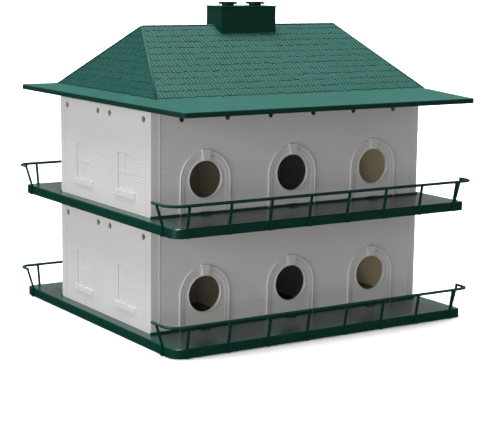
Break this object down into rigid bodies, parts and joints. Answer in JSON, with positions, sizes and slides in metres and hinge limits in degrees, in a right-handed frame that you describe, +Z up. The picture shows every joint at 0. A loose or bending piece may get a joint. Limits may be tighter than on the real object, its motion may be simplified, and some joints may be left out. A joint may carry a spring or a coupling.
{
  "type": "purple martin birdhouse",
  "caption": "Two-storey moulded plastic birdhouse with round arched entrances front and back, railed porch floors, a flared hip roof and a chimney.",
  "frame": {"origin": "middle of the bottom, on the plane where the lowest porch floor's rim stands", "axes": "+Z up, -Y towards the front, +X along the ridge"},
  "size_m": [0.5416, 0.5266, 0.4853],
  "materials": {
    "white_plastic": "moulded, with faint siding lines",
    "porch_green_plastic": "glossy moulded dark green",
    "roof_green_plastic": "moulded with shingle relief",
    "chimney_green_plastic": "satin moulded very dark green"
  },
  "bodies": {
    "root": {"lower_front_wall": "white_plastic", "lower_back_wall": "white_plastic", "lower_left_wall": "white_plastic", "lower_right_wall": "white_plastic", "lower_centre_partition": "white_plastic", "lower_left_partition": "white_plastic", "lower_right_partition": "white_plastic", "lower_porch_floor": "porch_green_plastic", "lower_front_railing": "porch_green_plastic", "lower_back_railing": "porch_green_plastic", "upper_front_wall": "white_plastic", "upper_back_wall": "white_plastic", "upper_left_wall": "white_plastic", "upper_right_wall": "white_plastic", "upper_centre_partition": "white_plastic", "upper_left_partition": "white_plastic", "upper_right_partition": "white_plastic", "upper_porch_floor": "porch_green_plastic", "upper_front_railing": "porch_green_plastic", "upper_back_railing": "porch_green_plastic", "ceiling": "white_plastic", "roof": "roof_green_plastic", "chimney": "chimney_green_plastic", "chimney_lid": "chimney_green_plastic", "left_flue_cap": "chimney_green_plastic", "right_flue_cap": "chimney_green_plastic"}
  },
  "joints": []
}
